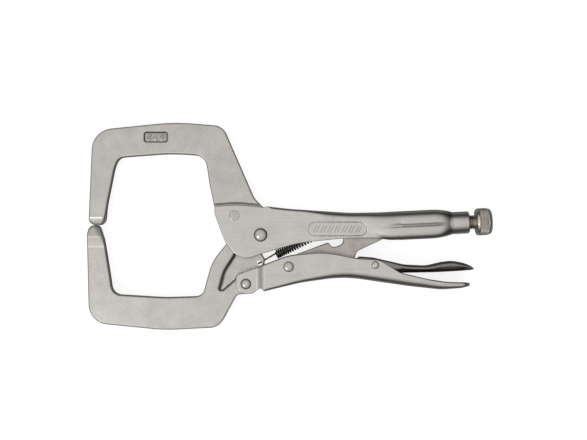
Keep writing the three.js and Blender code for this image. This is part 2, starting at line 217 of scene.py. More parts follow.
def forging(loop, height, edge, holes=(), creases=(), spacing=1.0, shade=None):
    """A plate whose upper face is z = height(x, y) and whose lower face mirrors it. Rows
    step in from the outline along its normals while the face drops by a quarter circle of
    radius edge; inside them the face is triangulated through a staggered grid of points,
    the creases and the holes."""
    tangent = np.roll(loop, -1, 0) - np.roll(loop, 1, 0)
    inward = np.stack([-tangent[:, 1], tangent[:, 0]], 1)
    inward /= np.linalg.norm(inward, axis=1)[:, None]
    turn = np.linspace(0, math.pi / 2, 6)
    insets = np.r_[0, edge * (1 - np.cos(turn)), edge + 0.3]
    drops = np.r_[0, edge * (1 - np.sin(turn)), 0]
    rows = loop[None] + inward[None] * insets[:, None, None]
    flat = rows.reshape(-1, 2)
    z = height(flat) - np.repeat(drops, len(loop))
    z[: len(loop)] = 0
    wear_and_light = np.repeat(np.r_[0, np.sin(2 * turn), 0], len(loop))
    points = [np.column_stack([flat, z])]
    faces = [grid_faces(len(rows), len(loop), closed_columns=True)]
    wear_and_light_sets = [wear_and_light]

    rim = rows[-1]
    low, high = rim.min(0), rim.max(0)
    gx, gy = np.meshgrid(
        np.arange(low[0], high[0], spacing), np.arange(low[1], high[1], spacing * 0.866)
    )
    gx = gx + (np.arange(len(gx)) % 2)[:, None] * spacing / 2
    fill = np.column_stack([gx.ravel(), gy.ravel()])
    fill = fill[away(fill, rim) < -0.5 * spacing]
    for hole in (*holes, *creases):
        fill = fill[np.abs(away(fill, hole)) > 0.4 * spacing]
    for hole in holes:
        fill = fill[~inside(fill, hole)]
    loops = [rim, *holes, *creases]
    starts = np.cumsum([0] + [len(each) for each in loops])
    borders = [
        (int(first + here), int(first + (here + 1) % len(each)))
        for first, each in zip(starts, loops)
        for here in range(len(each))
    ]
    made = delaunay_2d_cdt(
        [tuple(p) for p in np.concatenate([*loops, fill])], borders, [], 1, 1e-5
    )
    cap = np.array([tuple(p) for p in made[0]])
    triangles = np.array(made[2])
    middle = cap[triangles].mean(1)
    keep = np.ones(len(triangles), bool)
    for hole in holes:
        keep &= ~inside(middle, hole)
    points.append(np.column_stack([cap, height(cap)]))
    faces.append(triangles[keep])
    wear_and_light_sets.append(np.zeros(len(cap)))

    for hole in holes:
        top = np.column_stack([hole, height(hole)])
        foot = np.column_stack([hole, np.zeros(len(hole))])
        points.append(np.concatenate([top, foot]))
        faces.append(grid_faces(2, len(hole), closed_columns=True))
        # The holes' walls are painted darker, as shade.
        wear_and_light_sets.append(np.full(2 * len(hole), -0.4))

    upper = joined(points, faces, wear_and_light_sets)
    # shade adds the plate's painted highlights, shade and shadows to its upper face.
    if shade is not None:
        upper = (upper[0], upper[1], upper[2] + shade(upper[0][:, :2]))
    lower = (upper[0] * [1, 1, -1], upper[1], upper[2])
    return joined(*zip(upper, lower))


def joined(points, faces, wear_and_light_sets):
    """Several sets of points and faces as one shell."""
    starts = np.cumsum([0] + [len(p) for p in points])
    numbered = []
    for first, group in zip(starts, faces):
        numbered += [tuple(np.array(face) + first) for face in group]
    return np.concatenate(points), numbered, np.concatenate(wear_and_light_sets)


def thick_sheet(outer, inner, keep, wear_and_light):
    """A sheet between an outer and an inner grid of points. Only the kept cells are there,
    and wherever a kept cell has no neighbour a strip joins the two grids."""
    rows, columns = outer.shape[:2]
    number = np.arange(rows * columns).reshape(rows, columns)
    cells = np.stack([number[:-1, :-1], number[:-1, 1:], number[1:, 1:], number[1:, :-1]], -1)
    far = rows * columns
    faces = [cells[keep], cells[keep][:, ::-1] + far]
    padded = np.pad(keep, 1)
    along = padded[:-1, 1:-1] != padded[1:, 1:-1]
    across = padded[1:-1, :-1] != padded[1:-1, 1:]
    for border, one, other in (
        (along, number[:, :-1], number[:, 1:]),
        (across, number[:-1, :], number[1:, :]),
    ):
        one, other = one[border], other[border]
        faces.append(np.stack([one, other, other + far, one + far], -1))
    points = np.concatenate([outer.reshape(-1, 3), inner.reshape(-1, 3)])
    return points, [tuple(f) for f in np.concatenate(faces)], np.tile(wear_and_light.ravel(), 2)


def turned(profile, foot, axis, sides=64, bumps=None):
    """A profile of (along, radius, wear and painted light) rows carried round an axis from
    foot;
    bumps adds a radial amount that depends on the distance along and the angle, and where it
    cuts in the crests are painted lighter and the grooves painted darker, as shade."""
    along, radius, wear_and_light = np.array(profile, float).T
    axis = np.array(axis, float)
    side = np.cross([0, 0, 1], axis) if abs(axis[2]) < 0.9 else np.array([1.0, 0, 0])
    side /= np.linalg.norm(side)
    other = np.cross(axis, side)
    angle = np.linspace(0, math.tau, sides, endpoint=False)
    reach = np.repeat(radius[:, None], sides, 1)
    if bumps is not None:
        reach = reach + bumps(along[:, None], angle[None])
    round_about = np.cos(angle)[:, None] * side + np.sin(angle)[:, None] * other
    points = np.array(foot) + along[:, None, None] * axis + reach[..., None] * round_about
    rubbed_and_lit = np.repeat(wear_and_light[:, None], sides, 1)
    if bumps is not None:
        cut = reach - radius[:, None]
        depth = cut.min(1, keepdims=True) / cut.min()
        # Painted highlight and shade: the crests of the bumps lighter, the deepest grooves
        # darker.
        rubbed_and_lit = rubbed_and_lit + depth * (0.8 + 1.7 * cut / abs(cut.min()))
    faces = grid_faces(len(along), sides, closed_columns=True)
    return points.reshape(-1, 3), [tuple(f) for f in faces], rubbed_and_lit.ravel()


def tube(line, radius, sides=12):
    """A round section carried along a line, turned by the least amount from point to point,
    with its two ends drawn in to a point on the line."""
    ahead = np.gradient(line, axis=0)
    ahead /= np.linalg.norm(ahead, axis=1)[:, None]
    side = np.cross(ahead, [0.31, -0.23, 0.92])
    side /= np.linalg.norm(side, axis=1)[:, None]
    other = np.cross(ahead, side)
    angle = np.linspace(0, math.tau, sides, endpoint=False)
    line = np.concatenate([line[:1], line, line[-1:]])
    side, other = (np.concatenate([a[:1], a, a[-1:]]) for a in (side, other))
    width = np.r_[0, np.full(len(line) - 2, radius), 0]
    spread = np.cos(angle)[None, :, None] * side[:, None] + (
        np.sin(angle)[None, :, None] * other[:, None]
    )
    points = line[:, None] + width[:, None, None] * spread
    faces = grid_faces(len(line), sides, closed_columns=True)
    return points.reshape(-1, 3), [tuple(f) for f in faces], np.zeros(points.size // 3)


def emit(name, shells, body, nodes, material, sharp=40):
    """Makes one object of the shells: coincident points are merged, faces turned outwards,
    and edges sharper than the given angle kept crisp."""
    points, faces, wear_and_light = joined(*zip(*shells))
    mesh = bpy.data.meshes.new(name)
    mesh.from_pydata(((points + PIVOT) * MM).tolist(), [], faces)
    # The attribute carries rubbed wear together with painted highlights, shade and shadow to
    # the finish.
    mesh.attributes.new("wear_and_light", "FLOAT", "POINT").data.foreach_set(
        "value", wear_and_light.astype(np.float32)
    )
    work = bmesh.new()
    work.from_mesh(mesh)
    bmesh.ops.delete(
        work, geom=[v for v in work.verts if not v.link_faces], context="VERTS"
    )
    bmesh.ops.remove_doubles(work, verts=work.verts, dist=4e-6)
    bmesh.ops.dissolve_degenerate(work, edges=work.edges, dist=1e-7)
    bmesh.ops.recalc_face_normals(work, faces=work.faces)
    work.to_mesh(mesh)
    work.free()
    mesh.shade_smooth()
    mesh.set_sharp_from_angle(angle=math.radians(sharp))
    mesh.materials.append(material)
    piece = bpy.data.objects.new(name, mesh)
    bpy.context.scene.collection.objects.link(piece)
    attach(piece, body)
    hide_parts(*nodes)
    return piece


# ---------------------------------------------------------------- finishes


def linear(colour):
    """An sRGB hex colour as linear red, green, blue and alpha."""
    parts = np.array([int(colour[at : at + 2], 16) for at in (1, 3, 5)]) / 255
    parts = np.where(parts <= 0.04045, parts / 12.92, ((parts + 0.055) / 1.055) ** 2.4)
    return (*parts.tolist(), 1.0)


def add(tree, kind, settings=None, links=None):
    """Adds a node: settings are its properties and input values, links its inputs fed by
    other nodes' outputs."""
    node = tree.nodes.new(kind)
    for key, value in (settings or {}).items():
        if isinstance(key, str) and hasattr(node, key):
            setattr(node, key, value)
        else:
            node.inputs[key].default_value = value
    for key, source in (links or {}).items():
        tree.links.new(source, node.inputs[key])
    return node


DRAWN_LINES = (25.0, 900.0, 900.0)  # waves in a metre along each axis of the drawing lines


def metal(name, tone, deep, rubbed_and_lit, grime_and_shade, roughness, grit=0.9, patch=14.0, drawn_lines=0.0,
          relief=0.04, fleck=0.25, coat=0.0):
    """A metal finish. Colour wanders between tone and deep over patches, with fine flecks and
    drawing lines in the dark colour; it turns to the light colour where the attribute of wear
    and painted light is high, on rubbed edges and painted highlights, and to the dark colour
    where it is low, which is painted shade and shadow; the same patterns move the roughness
    and a slight relief. Sizes are in millimetres."""
    material = bpy.data.materials.new(name)
    material.use_nodes = True
    tree = material.node_tree
    tree.nodes.clear()
    place = add(tree, "ShaderNodeTexCoord").outputs["Object"]
    wear_and_light = add(tree, "ShaderNodeAttribute", {"attribute_name": "wear_and_light"}).outputs["Fac"]

    patches = add(tree, "ShaderNodeTexNoise",
                  {"Scale": 1 / (patch * MM), "Detail": 4.0, "Roughness": 0.6},
                  {"Vector": place}).outputs["Fac"]
    grains = add(tree, "ShaderNodeTexNoise",
                 {"Scale": 1 / (grit * MM), "Detail": 3.0, "Roughness": 0.7},
                 {"Vector": place}).outputs["Fac"]
    stretched = add(tree, "ShaderNodeMapping",
                    {"Scale": DRAWN_LINES, "Rotation": (0.0, 0.0, 0.05)},
                    {"Vector": place}).outputs["Vector"]
    lines = add(tree, "ShaderNodeTexNoise", {"Scale": 1.0, "Detail": 3.0},
                {"Vector": stretched}).outputs["Fac"]

    def spread(value, low, high, start=0.0, end=1.0):
        ranges = {"From Min": low, "From Max": high, "To Min": start, "To Max": end}
        return add(tree, "ShaderNodeMapRange", ranges, {"Value": value}).outputs["Result"]

    def blend(factor, first, second):
        node = add(tree, "ShaderNodeMix", {"data_type": "RGBA"}, {0: factor})
        for socket, colour in ((6, first), (7, second)):
            if isinstance(colour, tuple):
                node.inputs[socket].default_value = colour
            else:
                tree.links.new(colour, node.inputs[socket])
        return node.outputs[2]

    def calc(operation, first, second):
        node = add(tree, "ShaderNodeMath", {"operation": operation}, {0: first})
        if isinstance(second, float):
            node.inputs[1].default_value = second
        else:
            tree.links.new(second, node.inputs[1])
        return node.outputs[0]

    colour = blend(spread(patches, 0.3, 0.7), linear(tone), linear(deep))
    colour = blend(spread(grains, 0.55, 0.8, 0.0, fleck), colour, linear(grime_and_shade))
    if drawn_lines > 0:
        colour = blend(spread(lines, 0.5, 0.75, 0.0, drawn_lines), colour, linear(grime_and_shade))
    # Painted light: the light colour covers rubbed edges and painted highlights, and the dark
    # colour covers painted shade and shadow, as the attribute rises above and falls below
    # zero.
    broken_wear_and_light = calc("ADD", wear_and_light, spread(patches, 0.3, 0.7, -0.25, 0.25))
    colour = blend(spread(broken_wear_and_light, 0.35, 0.95, 0.0, 0.75), colour, linear(rubbed_and_lit))
    colour = blend(spread(wear_and_light, -0.15, -1.0, 0.0, 0.85), colour, linear(grime_and_shade))

    sheen = calc("ADD", spread(patches, 0.3, 0.7, roughness - 0.02, roughness + 0.03),
                 spread(grains, 0.3, 0.7, -0.04, 0.04))
    sheen = calc("SUBTRACT", sheen, spread(wear_and_light, 0.3, 1.0, 0.0, 0.12))
    small = add(tree, "ShaderNodeBump", {"Strength": 0.35, "Distance": relief * MM},
                {"Height": calc("ADD", grains, calc("MULTIPLY", lines, drawn_lines))})
    large = add(tree, "ShaderNodeBump", {"Strength": 0.25, "Distance": 2 * relief * MM},
                {"Height": patches, "Normal": small.outputs["Normal"]})
    shader = add(tree, "ShaderNodeBsdfPrincipled",
                 {"Metallic": 1.0, "Coat Weight": coat, "Coat Roughness": 0.12},
                 {"Base Color": colour, "Roughness": sheen,
                  "Normal": large.outputs["Normal"]})
    add(tree, "ShaderNodeOutputMaterial", {}, {"Surface": shader.outputs["BSDF"]})
    return material


# Nickel over pressed steel: an even satin with faint drawing lines along the strip.
def satin_nickel_sheet():
    finish = bpy.context.scene.pliers_finish
    return metal("satin_nickel_plated_sheet", hex_of(finish.sheet), "#c2bfba", "#e6e2dc",
                 "#67615b", finish.sheet_roughness, drawn_lines=0.12, fleck=0.3)


def hex_of(colour):
    """A linear colour property as sRGB hex."""
    parts = np.array(colour[:3])
    parts = np.where(parts <= 0.0031308, parts * 12.92, 1.055 * parts ** (1 / 2.4) - 0.055)
    return "#" + "".join(f"{round(float(part) * 255):02x}" for part in parts)


# Nickel over blasted forged steel: a little coarser and greyer, with scattered dark specks.
def blasted_nickel_forging():
    finish = bpy.context.scene.pliers_finish
    return metal("nickel_plated_blasted_forging", hex_of(finish.forging), "#bcb9b4", "#efece6",
                 "#56514c", finish.forging_roughness, grit=1.1, patch=9.0, relief=0.07,
                 fleck=0.45)


# Cold headed rivets, plated with the rest: smoother, so they show small bright lights.
def nickel_rivet():
    return metal("nickel_plated_rivet_steel", "#c2beb8", "#b4b0aa", "#e8e5df", "#544e48",
                 0.2, grit=0.7, patch=3.0, relief=0.03, fleck=0.2)


# The link is blanked from thick plate and tumbled: satin, slightly duller than the sheet.
def tumbled_nickel_plate():
    return metal("nickel_plated_tumbled_plate", "#bdb8b1", "#a7a29b", "#d8d4ce", "#6b665f",
                 0.4, grit=0.9, patch=7.0, drawn_lines=0.12, fleck=0.25)


# The lever is thin chromium-plated sheet, bright and glossy; its tone is painted darker than
# the plating's own, standing in for the dark reflections of its polished surface.
def chromed_sheet_painted_dark():
    return metal("chromium_plated_sheet_painted_dark", "#8b8886", "#7c7977", "#d9d5cf", "#3a3734",
                 0.13, grit=1.2, patch=12.0, relief=0.02, fleck=0.1, coat=0.3)


# Cut thread: crests painted lighter, as rubbed wear and painted highlight, and roots painted
# darker, as shade.
def machined_thread_steel():
    return metal("machined_screw_steel", "#c2bab0", "#aba398", "#d3cec8", "#4c463f",
                 0.3, grit=0.8, patch=4.0, relief=0.03, fleck=0.25)


# Knurled and plated bar: the diamonds' tops painted lighter, as rubbed wear and painted
# highlight, and the grooves between painted darker, as shade.
def knurled_nickel_steel():
    return metal("nickel_plated_knurled_steel", "#e2ddd6", "#d3cdc5", "#faf6ef", "#4c463f",
                 0.32, grit=0.8, patch=4.0, relief=0.03, fleck=0.25)


# Oil blackened music wire: nearly black, with narrow grey lights.
def blackened_spring_wire():
    return metal("oil_blackened_spring_wire", "#6c6966", "#555250", "#a5a29e", "#1c1b1a",
                 0.33, grit=0.6, patch=2.5, relief=0.02, fleck=0.3)


# ---------------------------------------------------------------- settings


class PliersSizes(bpy.types.PropertyGroup):
    jaw_edge: bpy.props.FloatProperty(
        name="Jaw edge", description="Rounding of the forged jaws' edges",
        default=1.2 * MM, unit="LENGTH", precision=4)
    sheet_edge: bpy.props.FloatProperty(
        name="Sheet edge", description="Rounding of the pressed sheets' cut edges",
        default=0.7 * MM, unit="LENGTH", precision=4)
    web_depth: bpy.props.FloatProperty(
        name="Web depth", description="How deep the lower jaw's web is forged, each side",
        default=2.5 * MM, unit="LENGTH", precision=4)
    mark_depth: bpy.props.FloatProperty(
        name="Mark depth", description="Depth of the recess on the fixed jaw",
        default=0.8 * MM, unit="LENGTH", precision=4)
    emblem_depth: bpy.props.FloatProperty(
        name="Emblem depth", description="Depth of the pressed panel on the upper handle",
        default=0.3 * MM, unit="LENGTH", precision=4)
    thread_pitch: bpy.props.FloatProperty(
        name="Thread pitch", description="Pitch of the adjusting screw",
        default=1.5 * MM, unit="LENGTH", precision=4)
    knurl_count: bpy.props.IntProperty(
        name="Knurl count", description="Diamonds round the knob", default=36)
    coil_count: bpy.props.IntProperty(
        name="Coils", description="Turns of the tension spring", default=22)


class PliersFinish(bpy.types.PropertyGroup):
    sheet: bpy.props.FloatVectorProperty(
        name="Sheet", description="Colour of the plated handles", size=4,
        subtype="COLOR", default=linear("#cdcac6"))
    forging: bpy.props.FloatVectorProperty(
        name="Forging", description="Colour of the plated jaws", size=4,
        subtype="COLOR", default=linear("#c9c6c2"))
    sheet_roughness: bpy.props.FloatProperty(
        name="Sheet roughness", description="Roughness of the plated handles",
        default=0.3, subtype="FACTOR")
    forging_roughness: bpy.props.FloatProperty(
        name="Forging roughness", description="Roughness of the plated jaws",
        default=0.4, subtype="FACTOR")


def millimetres(name):
    """A length property in millimetres."""
    return getattr(bpy.context.scene.pliers_sizes, name) / MM


# ---------------------------------------------------------------- forged jaws


TIPS_SIDE = -90.0  # the tips are to the left of this
FIXED_TIP = 6.66  # height of each jaw's end
LOWER_TIP = 6.56
FIXED_CREASE = 12.0  # where each tip's ramp begins
LOWER_CREASE = -1.5
FIXED_JAW = [
    (-118.4, FIXED_TIP, 4.6), (-106.8, FIXED_TIP, 4.6), (-105.8, 19.9, 60), (-100.3, 47, 24),
    (-97.3, 53.2, 6), (-61, 55.9, 150), (-38, 54.4, 9), (-35.2, 35, 60), (-32, 20, 30),
    (-27.6, 3.4, 2.5), (-12, 8.4, 6), (4.6, 11.4, 2), (4, 16.6, 2), (-4.4, 25.2, 12),
    (-26, 74.8, 9.5), (-59, 77.58, 150), (-115.6, 71.8, 15),
]
LOWER_JAW = [
    (-118.0, LOWER_TIP, 4.2), (-119.47, 0.8, 6), (-118, -60.3, 14), (-66, -65.48, 120),
    (-28.6, -63.6, 11), (-16.2, -41, 4), (-3.6, -40.2, 6), (-3.4, -27.6, 5),
    (2.4, -22.6, 2.4), (2.8, -16.6, 2.4), (-1.6, -9, 3), (4, 2, 3), (-3, 9, 3),
    (-13, 7, 8), (-33.4, -18.4, 30), (-37.8, -34, 30), (-39.6, -42.3, 7),
    (-66, -43.1, 120), (-101.8, -40.9, 7), (-104, -25.9, 60), (-107.6, -3.7, 40),
    (-110.4, LOWER_TIP, 3.2),
]
LOWER_WEB = [
    (-16.4, -9, 3), (-26.6, -24.6, 24), (-31.4, -43.6, 2.6), (-17.4, -31.6, 3),
    (8, -31.6, 3), (8, -9, 3),
]
WEB_RIM = [(-16.4, -9), (-26.6, -24.6, 24), (-31.0, -42.0)]
MARK_MIDDLE = np.array([-72.0, 67.1])
MARK_HALF = np.array([8.2, 3.6])
EYE_RADIUS = 9.5
HUB_RADIUS = 6.0


def rounded_box(points, middle, half, radius):
    """Signed distance to a rectangle with rounded corners."""
    over = np.abs(points - middle) - (half - radius)
    outside = np.linalg.norm(np.maximum(over, 0), axis=1)
    return outside + np.minimum(over.max(1), 0) - radius


def box_loop(middle, half, radius):
    """The outline of a rectangle with rounded corners."""
    (x, y), (w, h) = middle, half
    return outline([(x - w, y - h, radius), (x + w, y - h, radius),
                    (x + w, y + h, radius), (x - w, y + h, radius)], 0.35)


def mark_bars(points):
    """Height of three slanted bars standing on the floor of the recess."""
    local = points - MARK_MIDDLE
    slanted = local[:, 0] - 0.35 * local[:, 1]
    bar = np.abs((slanted + 2.1) % 4.2 - 2.1) - 0.8
    limit = np.maximum(np.abs(local[:, 1]) - 2.1, np.abs(slanted) - 5.6)
    return smooth(-np.maximum(bar, limit), -0.2, 0.3)


def fixed_jaw_height(points):
    """Half thickness of the fixed jaw: level, with a recess, and falling in a straight ramp
    beyond the crease at the tip, where the right side is chamfered as well."""
    x, y = points.T
    z = np.full(len(points), JAW_HALF)
    tip = x < TIPS_SIDE
    beyond = np.clip(FIXED_CREASE - y, 0, None) * tip
    z -= 0.20 * beyond + 0.03 * beyond**2
    chamfer = np.clip(x - (-109.2 + 0.28 * np.clip(y - 8, 0, 14)), 0, None)
    z -= 0.55 * chamfer * smooth(y, 2 * FIXED_CREASE, FIXED_CREASE) * tip
    recess = rounded_box(points, MARK_MIDDLE, MARK_HALF, 1.8)
    depth = millimetres("mark_depth")
    z -= smooth(-recess, -0.02, 0.6) * depth
    z += mark_bars(points) * 0.8 * depth
    return np.maximum(z, 1.6)


def fixed_jaw_shade(points):
    """Painted light on the fixed jaw: a painted highlight along the crease, painted shade in
    the recess and on its wall, and painted shadow at the very tip, where the jaws meet, and
    where the handle's front edge lies over the jaw. Each line is a bell curve."""
    recess = rounded_box(points, MARK_MIDDLE, MARK_HALF, 1.8)
    # Painted shade on the recess's wall.
    painted_wall_shade = np.exp(-(((recess + 0.3) / 0.35) ** 2))
    x, y = points.T
    tip = x < TIPS_SIDE
    # A painted highlight along the crease.
    bend_light_and_tip_shadow = np.exp(-(((y - FIXED_CREASE) / 0.4) ** 2)) * tip
    top = upper_edges()[0](x)
    # A painted shadow cast by the handle's front edge on the jaw.
    handle_edge_shadow = 1.7 * np.exp(-(((y - top - 0.5) / 0.6) ** 2)) * (np.abs(x + 18) < 17)
    # A painted shadow at the tip's end, where the jaws meet.
    bend_light_and_tip_shadow -= 1.6 * np.exp(-(((y - FIXED_TIP) / 0.7) ** 2)) * tip
    # The recess floor between the bars is painted darker, as shade.
    return 1.2 * bend_light_and_tip_shadow - 1.2 * painted_wall_shade - 0.35 * (recess < 0) * (1 - mark_bars(points)) - handle_edge_shadow


def make_fixed_jaw():
    """The fixed jaw, its root kept clear of the lower jaw's eye."""
    loop = outline(FIXED_JAW)
    reach = np.linalg.norm(loop, axis=1)
    loop = loop * np.maximum(1, (EYE_RADIUS + 1) / reach)[:, None]
    creases = [
        box_loop(MARK_MIDDLE, MARK_HALF, 1.8),
        box_loop(MARK_MIDDLE, MARK_HALF - 0.6, 1.2),
    ]
    shell = forging(loop, fixed_jaw_height, millimetres("jaw_edge"),
                    [ring(JAW_RIVET, 4.0)], creases, 0.8, fixed_jaw_shade)
    return [shell]


def web_depth(points):
    """Signed distance into the lower jaw's web, and how far the web has sunk there: fully
    within a short wall, but over a wider slope along the outer rim."""
    web = away(points, outline(LOWER_WEB, 0.8))
    web = np.maximum(web, -disc(points, (0, 0), EYE_RADIUS + 1))
    web = np.maximum(web, -disc(points, EAR_PIVOT, HUB_RADIUS + 1.2))
    line = path(WEB_RIM, 0.5)
    rim = np.full(len(points), 9.0)
    near = (web < 0) & (points[:, 0] < -8)
    gaps = points[near][:, None] - line[None]
    rim[near] = np.linalg.norm(gaps, axis=2).min(1)
    wide = 1.0 + 2.0 * smooth(points[:, 1], -44, -34) * smooth(points[:, 1], -8, -16)
    return web, np.minimum(smooth(-web, -0.1, 1.1), smooth(rim, 0, wide))


def lower_jaw_height(points):
    """Half thickness of the lower jaw: level, thinned in the web between the two hubs, and
    falling in two bends towards the tip, with a chamfer on its inner side."""
    x, y = points.T
    z = JAW_HALF - millimetres("web_depth") * web_depth(points)[1]
    tip = x < TIPS_SIDE
    beyond = np.clip(y - LOWER_CREASE, 0, None)
    z -= (0.13 * beyond + 0.012 * beyond**2) * tip
    z -= 0.16 * smooth(y, -9.8, -6.4) * tip
    chamfer = np.clip(x - (-108.6 - 0.55 * np.clip(y + 6, 0, 20)), 0, None)
    z -= 0.32 * chamfer * smooth(y, -8.0, 0.0) * tip
    return np.maximum(z, 1.5)


def lower_jaw_shade(points):
    """Painted light on the lower jaw: painted highlights along both bends of the tip, painted
    shadow at the tip's end, where the jaws meet, and painted shade on the web's wall.
    """
    x, y = points.T
    web, sunk = web_depth(points)
    # Painted shade on the web's wall.
    painted_wall_shade = np.exp(-(((sunk - 0.5) / 0.35) ** 2))
    tip = x < TIPS_SIDE
    # Painted highlights along both bends of the tip.
    bend_light_and_tip_shadow = np.exp(-(((y - LOWER_CREASE) / 0.35) ** 2))
    bend_light_and_tip_shadow = bend_light_and_tip_shadow + 0.8 * np.exp(-(((y + 8.0) / 1.3) ** 2))
    # A painted shadow at the tip's end, where the jaws meet.
    bend_light_and_tip_shadow -= 1.6 * np.exp(-(((y - LOWER_TIP) / 0.7) ** 2))
    return 1.3 * bend_light_and_tip_shadow * tip - 1.1 * painted_wall_shade * (web < 0.3)


def make_lower_jaw():
    """The lower jaw, its outline pushed out to the eye by a smooth maximum: the sixteenth
    root of the sum of sixteenth powers."""
    loop = outline(LOWER_JAW)
    radial = np.linalg.norm(loop, axis=1) / EYE_RADIUS
    loop = loop * ((radial**16 + 1) ** (1 / 16) / radial)[:, None]
    holes = [ring((0, 0), 3.8), ring(EAR_PIVOT, 3.05), ring(SPRING_HOLE, 1.9, 24)]
    return [forging(loop, lower_jaw_height, millimetres("jaw_edge"), holes, (), 0.8,
                    lower_jaw_shade)]


# ---------------------------------------------------------------- pressed sheets


EDGE_STEPS = np.array([0, 0.07, 0.2, 0.4, 0.7, 1.1])


def channel(x, half, edge, web, roll, rows=26, bend=8, across=8):
    """Section of a folded sheet at each x, as (x, y, z) points: up one side from its free
    edge, round a quarter circle of radius roll, across the web, and down the other side.
    Rows gather at the free edge and below the fold, where edges are rounded."""
    upward = np.sign(web - edge)
    tall = np.abs(web - edge) - roll
    ends = EDGE_STEPS[None] * np.minimum(1, tall / 4)[:, None]
    middle = ends[:, -1:] + (tall[:, None] - 2 * ends[:, -1:]) * np.linspace(0, 1, rows)[1:-1]
    up = np.concatenate([ends, middle, tall[:, None] - ends[:, ::-1]], 1)
    side_y = edge[:, None] + upward[:, None] * up
    side_z = np.repeat(half[:, None], up.shape[1], 1)
    turn = np.linspace(0, math.pi / 2, bend)[None, 1:]
    bend_y = web[:, None] - upward[:, None] * roll[:, None] * (1 - np.sin(turn))
    bend_z = half[:, None] - roll[:, None] * (1 - np.cos(turn))
    flat_z = (half - roll)[:, None] * np.linspace(1, 0, across)[None, 1:]
    flat_y = np.repeat(web[:, None], across - 1, 1)
    y = np.concatenate([side_y, bend_y, flat_y], 1)
    z = np.concatenate([side_z, bend_z, flat_z], 1)
    y = np.concatenate([y, y[:, -2::-1]], 1)
    z = np.concatenate([z, -z[:, -2::-1]], 1)
    fold = up.shape[1]  # rows below this number are the side
    return np.stack([np.repeat(x[:, None], y.shape[1], 1), y, z], 2), up, fold


def columns(start, end, spacing, front=True):
    """Places along x: evenly spaced, gathered at the start where the edge is rounded."""
    body = np.arange(start + 1.6, end, spacing)
    gathered = [start]
    if front:
        gathered = start + np.array([0, 0.06, 0.16, 0.3, 0.5, 0.75, 1.05, 1.35])
    return np.concatenate([gathered, body, [end]])


EMBLEM_MIDDLE = np.array([52.9, 4.1])
EMBLEM_HALF = np.array([20.0, 4.7])


def emblem(x, y):
    """Depth of the pressed panel: a stadium line round a row of slanted bars."""
    points = np.stack([x.ravel(), y.ravel()], 1)
    local = points - EMBLEM_MIDDLE
    border = np.abs(rounded_box(points, EMBLEM_MIDDLE, EMBLEM_HALF, EMBLEM_HALF[1])) - 0.1
    slanted = local[:, 0] - 0.5 * local[:, 1]
    bar = np.abs(np.abs((slanted + 2.4) % 4.8 - 2.4) - 1.0) - 0.1
    bar = np.maximum(bar, np.abs(local[:, 1]) - 2.3)
    bar = np.maximum(bar, np.abs(slanted) - 15.6)
    return smooth(-np.minimum(border, bar), -0.35, 0.2).reshape(x.shape)


def upper_edges():
    """The upper handle's top and bottom edges as functions of x."""
    top = height_along([(-31.6, 20.4), (-17, 21.6, 60), (2.6, 19.8, 40), (20, 17.8, 90),
                        (61.7, 15.1, 80), (85.7, 16.4, 60), (100, 17.1)])
    bottom = height_along([(-31.6, 15.7), (-31.58, 14.4, 0.5), (-24.6, -4.4, 12),
                           (-17.8, -13.4, 8), (-9.6, -16.6, 11), (3, -12.2, 40),
                           (26, -5.6, 90), (56, -2.4, 120), (100, -1.8)])
    return top, bottom


BODY_FRONT = -31.6
EARS_FRONT = -16.9
LEVER_FRONT = 66.5
WEB_START = 3.6  # the handle's back is open in front of this
BARREL_RADIUS = 9.9
BARREL_WIDE = 9.1
SQUARE_ABOVE = 0.8  # how far the powers of the barrel's section are above two
SQUARE_BELOW = 1.5
FLUTE_DEPTH = 0.10  # as a share of the radius
FLUTE_WIDTH = 0.13  # as an angle


def barrel(x, share, thickness, slot):
    """Section of the rolled barrel at each x about the screw axis: a rounded square, the sum
    of powers of height and width being one, opened below by a slot, with a flute along each
    side and a rounded shoulder at the end where the powers fall back to two, an ellipse.
    share runs from -1 at one lip of the slot, over the top, to 1 at the other."""
    along = (x - BOSS_END[0]) / SCREW_AXIS[0]
    axis = BOSS_END[1] + (x - BOSS_END[0]) * SCREW_AXIS[1] / SCREW_AXIS[0]
    shoulder = np.clip((along + 27.0) / 15.4, 0, 1)
    nose = np.clip((-49.5 - along) / 14.0, 0, 1)
    size = 1 - 0.235 * shoulder**2.2 - 0.03 * nose**1.5
    tall = BARREL_RADIUS * size - thickness
    wide = BARREL_WIDE * size**1.1 - thickness
    lip = np.arcsin(np.clip(slot / wide, 0, 0.95))
    angle = share * (math.pi - lip)[:, None]
    rise, spread = np.cos(angle), np.sin(angle)
    square = smooth(along, -10.0, -22.0)[:, None]
    power = 2 + square * np.where(rise > 0, SQUARE_ABOVE, SQUARE_BELOW)
    reach = ((np.abs(rise) / tall[:, None]) ** power
             + (np.abs(spread) / wide[:, None]) ** power) ** (-1 / power)
    flute = FLUTE_DEPTH * smooth(along, -66.0, -48.0) * smooth(along, -14.0, -22.0)
    reach *= 1 - flute[:, None] * np.exp(-(((np.abs(angle) - 1.59) / FLUTE_WIDTH) ** 2))
    y = axis[:, None] + reach * rise
    z = reach * spread
    return np.stack([np.repeat(x[:, None], share.shape[-1], 1), y, -z], 2)


